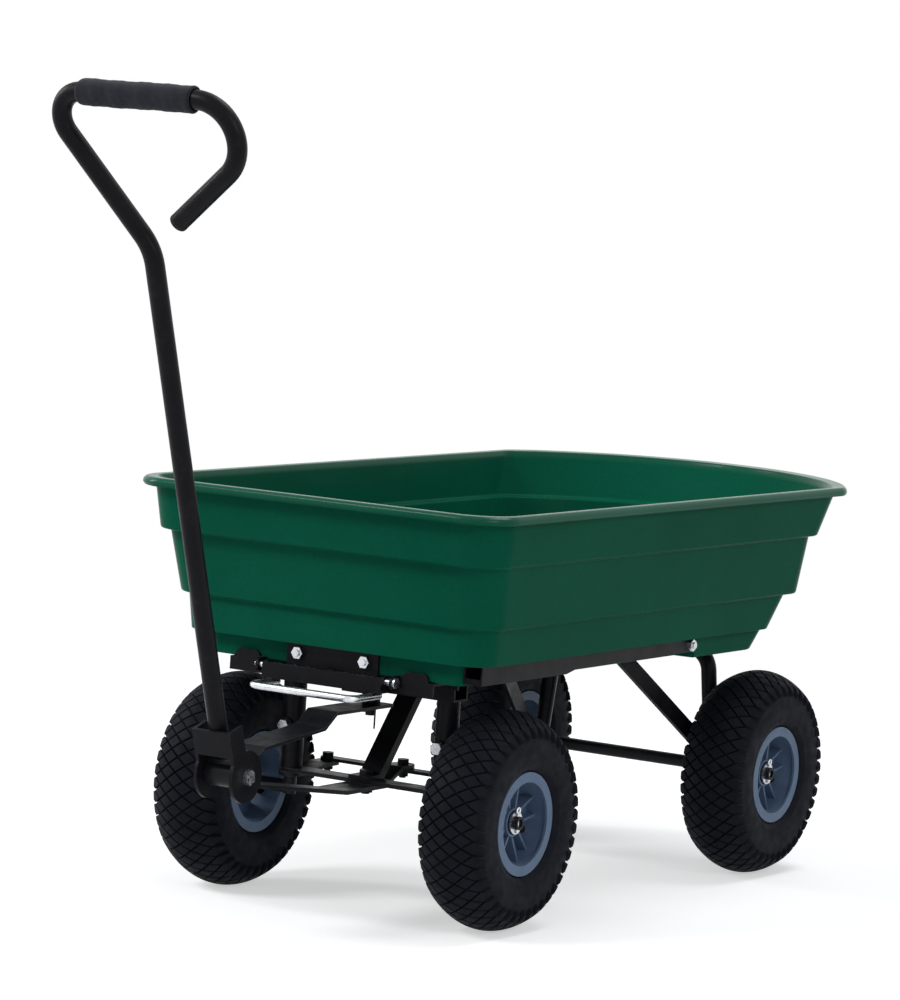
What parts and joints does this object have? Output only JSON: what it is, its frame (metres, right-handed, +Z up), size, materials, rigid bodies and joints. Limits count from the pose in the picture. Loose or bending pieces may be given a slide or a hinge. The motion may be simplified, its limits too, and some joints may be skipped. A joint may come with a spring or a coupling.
{
  "type": "tipping garden dump cart",
  "caption": "Pull-along garden dump cart with a stepped tipping tray, pneumatic tyres, knuckle steering and a folding loop handle.",
  "frame": {"origin": "on the ground under the middle of the whole cart's box", "axes": "+Z up; +Y from the pull handle towards the tray's bowed rear; +X to the side on the right of someone walking ahead of the cart and looking back at it"},
  "size_m": [0.514, 1.4332, 0.964],
  "materials": {
    "tray_green": "semi-gloss moulded",
    "frame_black": "powder coat, semi-gloss",
    "zinc": "bright zinc plated",
    "steering_steel": "powder coat, satin",
    "tyre_rubber": "matte",
    "rim_plastic": "satin moulded, blue-grey",
    "plug_black": "matte",
    "valve_rubber": "satin",
    "grip_foam": "closed-cell foam, matte"
  },
  "bodies": {
    "chassis": {"front_bolster": "frame_black", "kingpin_frame": "frame_black", "spine_front": "frame_black", "spine_rear": "frame_black", "brace_strap": "frame_black", "rear_arch": "frame_black", "rear_braces": "frame_black", "rear_axle": "steering_steel", "rear_washers": "zinc", "rear_cotters": "zinc", "centre_strut": "frame_black", "lower_tie_bar": "steering_steel", "post_bolts": "zinc", "lower_pivot_bolt": "steering_steel", "upper_pivot_pin": "steering_steel", "upper_pivot_washer": "steering_steel", "upper_pivot_cotter": "steering_steel", "latch_pin": "zinc"},
    "tray": {"tray": "tray_green", "rail_left": "frame_black", "rail_right": "frame_black", "rail_bolts": "zinc", "latch_bracket": "frame_black", "bracket_bolts": "zinc", "hinge_saddles": "frame_black", "saddle_bolts_set": "zinc"},
    "latch": {"release_lever": "frame_black", "release_pull": "zinc"},
    "yoke": {"yoke_top_plate": "steering_steel", "yoke_bottom_plate": "steering_steel", "yoke_head": "steering_steel", "handle_bolt": "zinc"},
    "tie_rod": {"tie_rod": "steering_steel", "tie_rod_bolts": "steering_steel"},
    "knuckle_left": {"knuckle_left": "steering_steel", "washer_fl": "zinc", "cotter_fl": "zinc"},
    "knuckle_right": {"knuckle_right": "steering_steel", "washer_fr": "zinc", "cotter_fr": "zinc"},
    "handle": {"handle_clevis": "frame_black", "handle_tube": "frame_black", "handle_plug": "plug_black", "foam_grip": "grip_foam"},
    "wheel_fl": {"tyre_fl": "tyre_rubber", "rim_fl": "rim_plastic", "bushes_fl": "plug_black", "valve_fl": "valve_rubber"},
    "wheel_fr": {"tyre_fr": "tyre_rubber", "rim_fr": "rim_plastic", "bushes_fr": "plug_black", "valve_fr": "valve_rubber"},
    "wheel_rl": {"tyre_rl": "tyre_rubber", "rim_rl": "rim_plastic", "bushes_rl": "plug_black", "valve_rl": "valve_rubber"},
    "wheel_rr": {"tyre_rr": "tyre_rubber", "rim_rr": "rim_plastic", "bushes_rr": "plug_black", "valve_rr": "valve_rubber"}
  },
  "joints": [
    {"name": "tray_tip", "type": "hinge", "parent": "chassis", "child": "tray", "pos_m": [0, 0.47959, 0.2785], "axis": [-1, 0, 0], "range_deg": [0, 70]},
    {"name": "latch_release", "type": "hinge", "parent": "chassis", "child": "latch", "pos_m": [0, -0.24641, 0.288], "axis": [-1, 0, 0], "range_deg": [0, 25]},
    {"name": "steer_yoke", "type": "hinge", "parent": "chassis", "child": "yoke", "pos_m": [0, -0.14441, 0.1465], "axis": [0, 0, 1], "range_deg": [-30, 30]},
    {"name": "tie_rod_pivot", "type": "hinge", "parent": "yoke", "child": "tie_rod", "pos_m": [0, -0.06341, 0.1573], "axis": [0, 0, 1], "range_deg": [-30, 30]},
    {"name": "steer_left", "type": "hinge", "parent": "chassis", "child": "knuckle_left", "pos_m": [-0.108, -0.14441, 0.13], "axis": [0, 0, 1], "range_deg": [-30, 30]},
    {"name": "steer_right", "type": "hinge", "parent": "chassis", "child": "knuckle_right", "pos_m": [0.108, -0.14441, 0.13], "axis": [0, 0, 1], "range_deg": [-30, 30]},
    {"name": "handle_pivot", "type": "hinge", "parent": "yoke", "child": "handle", "pos_m": [0, -0.43841, 0.187], "axis": [1, 0, 0], "range_deg": [-30, 75]},
    {"name": "wheel_fl_spin", "type": "hinge", "parent": "knuckle_left", "child": "wheel_fl", "pos_m": [-0.187, -0.14441, 0.13], "axis": [1, 0, 0], "continuous": true},
    {"name": "wheel_fr_spin", "type": "hinge", "parent": "knuckle_right", "child": "wheel_fr", "pos_m": [0.187, -0.14441, 0.13], "axis": [1, 0, 0], "continuous": true},
    {"name": "wheel_rl_spin", "type": "hinge", "parent": "chassis", "child": "wheel_rl", "pos_m": [-0.187, 0.47959, 0.13], "axis": [1, 0, 0], "continuous": true},
    {"name": "wheel_rr_spin", "type": "hinge", "parent": "chassis", "child": "wheel_rr", "pos_m": [0.187, 0.47959, 0.13], "axis": [1, 0, 0], "continuous": true}
  ],
  "couplings": [
    {"joint": "tie_rod_pivot", "follows": "steer_yoke", "ratio": -1},
    {"joint": "steer_left", "follows": "steer_yoke", "ratio": 1},
    {"joint": "steer_right", "follows": "steer_yoke", "ratio": 1}
  ]
}
